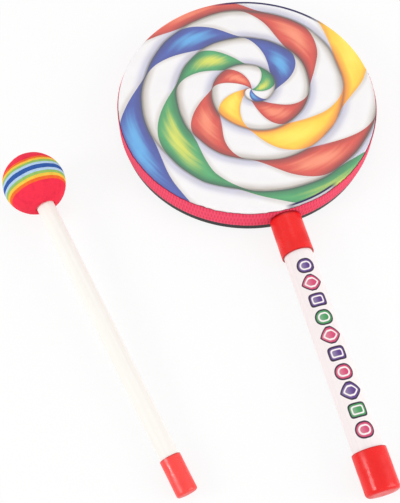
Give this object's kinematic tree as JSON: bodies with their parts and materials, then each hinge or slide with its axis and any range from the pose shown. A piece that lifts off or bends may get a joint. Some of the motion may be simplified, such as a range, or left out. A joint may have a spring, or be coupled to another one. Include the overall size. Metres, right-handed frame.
{
  "type": "lollipop drum",
  "caption": "Lollipop-shaped toy hand drum: a round hoop with a candy-swirl film head on a straight capped handle, with a loose mallet that has a striped foam ball.",
  "frame": {"origin": "centre of the hoop in the plane of its back edge, which is also the surface that the drum and the mallet lie on", "axes": "+Z out of the playing face; the handle runs along -Y from the rim to its end cap; +X to the right with the handle towards the viewer, and the mallet lies on the -X side"},
  "size_m": [0.2242, 0.3101, 0.035],
  "materials": {
    "hoop_black": "satin",
    "printed_film": "satin",
    "ribbon_red": "matte",
    "tube_white": "satin",
    "vinyl_red": "satin",
    "plug_wood": "matte",
    "screw_steel": "satin",
    "foam_red": "matte",
    "foam_orange": "matte",
    "foam_yellow": "matte",
    "foam_green": "matte",
    "foam_sky": "matte",
    "foam_blue": "matte",
    "stick_white": "satin"
  },
  "bodies": {
    "drum": {"hoop": "hoop_black", "drumhead": "printed_film", "rim_ribbon": "ribbon_red", "handle_tube": "tube_white", "handle_collar": "vinyl_red", "handle_end_cap": "vinyl_red", "handle_plug": "plug_wood", "handle_screw": "screw_steel", "screw_washer": "screw_steel"},
    "mallet": {"ball_red_tip": "foam_red", "ball_orange_front": "foam_orange", "ball_yellow_front": "foam_yellow", "ball_green_front": "foam_green", "ball_sky_front": "foam_sky", "ball_blue_core": "foam_blue", "ball_sky_back": "foam_sky", "ball_green_back": "foam_green", "ball_yellow_back": "foam_yellow", "ball_orange_back": "foam_orange", "ball_red_base": "foam_red", "mallet_stick": "stick_white", "mallet_end_cap": "vinyl_red"}
  },
  "joints": [
    {"name": "mallet_lift", "type": "slide", "parent": "drum", "child": "mallet", "axis": [0, 0, 1], "range_m": [0, 0.1]}
  ]
}
